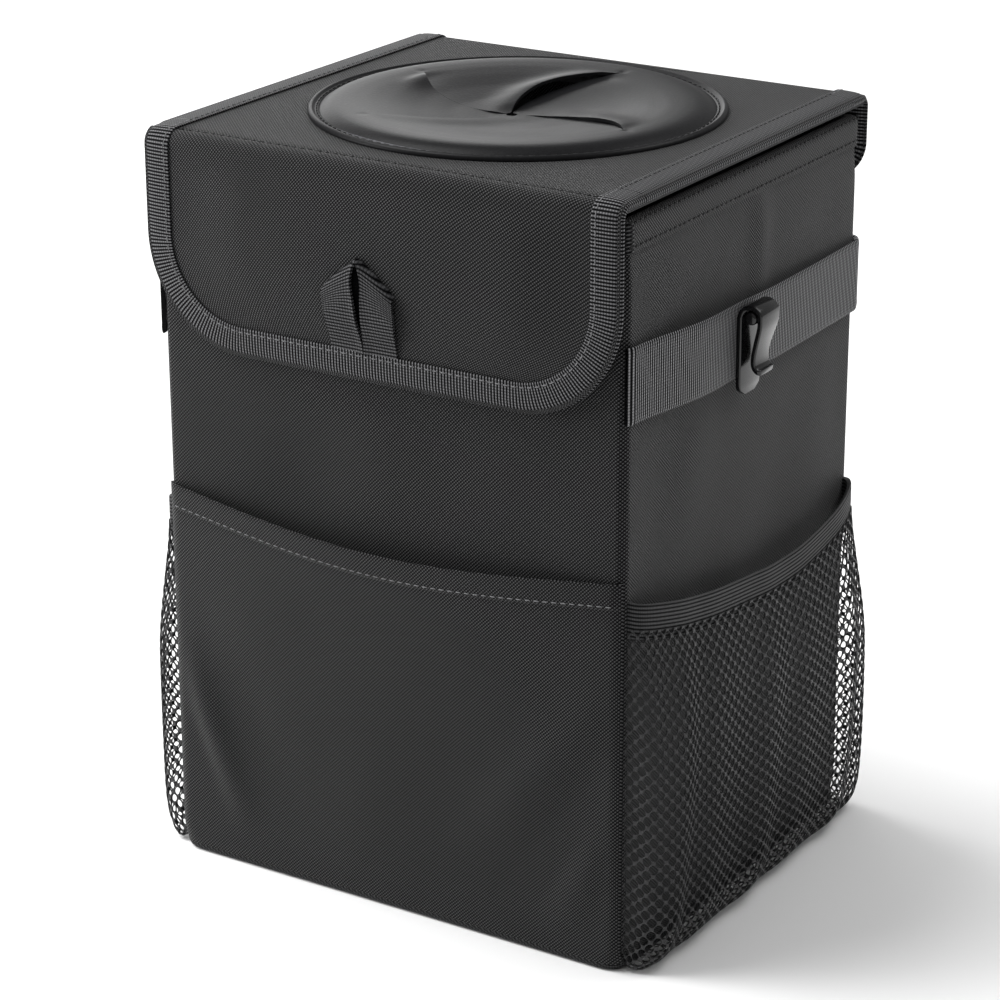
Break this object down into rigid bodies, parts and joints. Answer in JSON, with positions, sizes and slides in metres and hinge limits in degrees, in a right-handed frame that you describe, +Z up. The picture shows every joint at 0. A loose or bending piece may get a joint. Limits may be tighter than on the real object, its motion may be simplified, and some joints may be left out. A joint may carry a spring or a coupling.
{
  "type": "car trash bin",
  "caption": "Soft-sided car trash bin with a hinged lid, a slit leather opening, a front flap, a front pocket, mesh side pockets and a clipped strap.",
  "frame": {"origin": "middle of the overall box at the floor, under the base", "axes": "+Z up; the front flap and pocket face -Y; the mesh pockets are on the sides, along X"},
  "size_m": [0.236, 0.1916, 0.2986],
  "materials": {
    "oxford_cloth": "matt woven oxford cloth",
    "stiffener_board": "plain board inside the cloth",
    "waterproof_lining": "coated lining, slight sheen",
    "binding_webbing": "ribbed grosgrain binding",
    "strap_webbing": "ribbed woven webbing with a soft sheen",
    "hex_mesh": "open knitted mesh",
    "elastic_band": "ribbed elastic",
    "clip_plastic": "glossy moulded plastic",
    "hook_and_loop": "hook-and-loop tape",
    "pu_leather": "smooth satin coated leather",
    "foam": "soft foam inside the ring"
  },
  "bodies": {
    "bin": {"front_panel": "oxford_cloth", "back_panel": "oxford_cloth", "left_side_panel": "oxford_cloth", "right_side_panel": "oxford_cloth", "base_panel": "oxford_cloth", "front_board": "stiffener_board", "back_board": "stiffener_board", "left_board": "stiffener_board", "right_board": "stiffener_board", "base_board": "stiffener_board", "inner_liner": "waterproof_lining", "rim_band": "binding_webbing", "base_binding": "binding_webbing", "front_pocket": "oxford_cloth", "front_pocket_hem": "oxford_cloth", "left_mesh_pocket": "hex_mesh", "right_mesh_pocket": "hex_mesh", "left_pocket_elastic": "elastic_band", "right_pocket_elastic": "elastic_band", "side_strap": "strap_webbing", "left_clip": "clip_plastic", "right_clip": "clip_plastic", "front_loop_patch": "hook_and_loop", "back_loop_patch": "hook_and_loop", "back_hook_patch": "hook_and_loop", "back_flap_panel": "oxford_cloth", "back_flap_binding": "binding_webbing"},
    "lid": {"lid_top_panel": "oxford_cloth", "lid_board": "stiffener_board", "lid_lining": "waterproof_lining", "left_lid_binding": "binding_webbing", "right_lid_binding": "binding_webbing", "opening_ring": "pu_leather", "opening_padding": "foam", "opening_collar": "pu_leather"},
    "front_flap": {"flap_panel": "oxford_cloth", "flap_board": "stiffener_board", "flap_lining": "waterproof_lining", "flap_binding": "binding_webbing", "flap_hook_patch": "hook_and_loop", "pull_tab": "strap_webbing"},
    "back_right_petal": {"back_right_petal": "pu_leather"},
    "back_left_petal": {"back_left_petal": "pu_leather"},
    "left_petal": {"left_petal": "pu_leather"},
    "front_petal": {"front_petal": "pu_leather"}
  },
  "joints": [
    {"name": "lid_hinge", "type": "hinge", "parent": "bin", "child": "lid", "pos_m": [0, 0.0937, 0.2952], "axis": [-1, 0, 0], "range_deg": [0, 110]},
    {"name": "flap_hinge", "type": "hinge", "parent": "lid", "child": "front_flap", "pos_m": [0, -0.0895, 0.2952], "axis": [-1, 0, 0], "range_deg": [0, 150]},
    {"name": "back_left_petal_hinge", "type": "hinge", "parent": "lid", "child": "back_left_petal", "pos_m": [-0.02244, 0.04098, 0.2918], "axis": [0.866, 0.5, 0], "range_deg": [0, 60], "stiffness_Nm_per_rad": 0.004, "springref_deg": -20.05},
    {"name": "left_petal_hinge", "type": "hinge", "parent": "lid", "child": "left_petal", "pos_m": [-0.04789, -0.00895, 0.2918], "axis": [-0.225, 0.9744, 0], "range_deg": [0, 60], "stiffness_Nm_per_rad": 0.004, "springref_deg": -20.05},
    {"name": "front_petal_hinge", "type": "hinge", "parent": "lid", "child": "front_petal", "pos_m": [0.00751, -0.02803, 0.2918], "axis": [-0.9703, -0.2419, 0], "range_deg": [0, 60], "stiffness_Nm_per_rad": 0.004, "springref_deg": -20.05},
    {"name": "back_right_petal_hinge", "type": "hinge", "parent": "lid", "child": "back_right_petal", "pos_m": [0.03295, 0.0219, 0.2918], "axis": [0.515, -0.8572, 0], "range_deg": [0, 60], "stiffness_Nm_per_rad": 0.004, "springref_deg": -20.05}
  ]
}
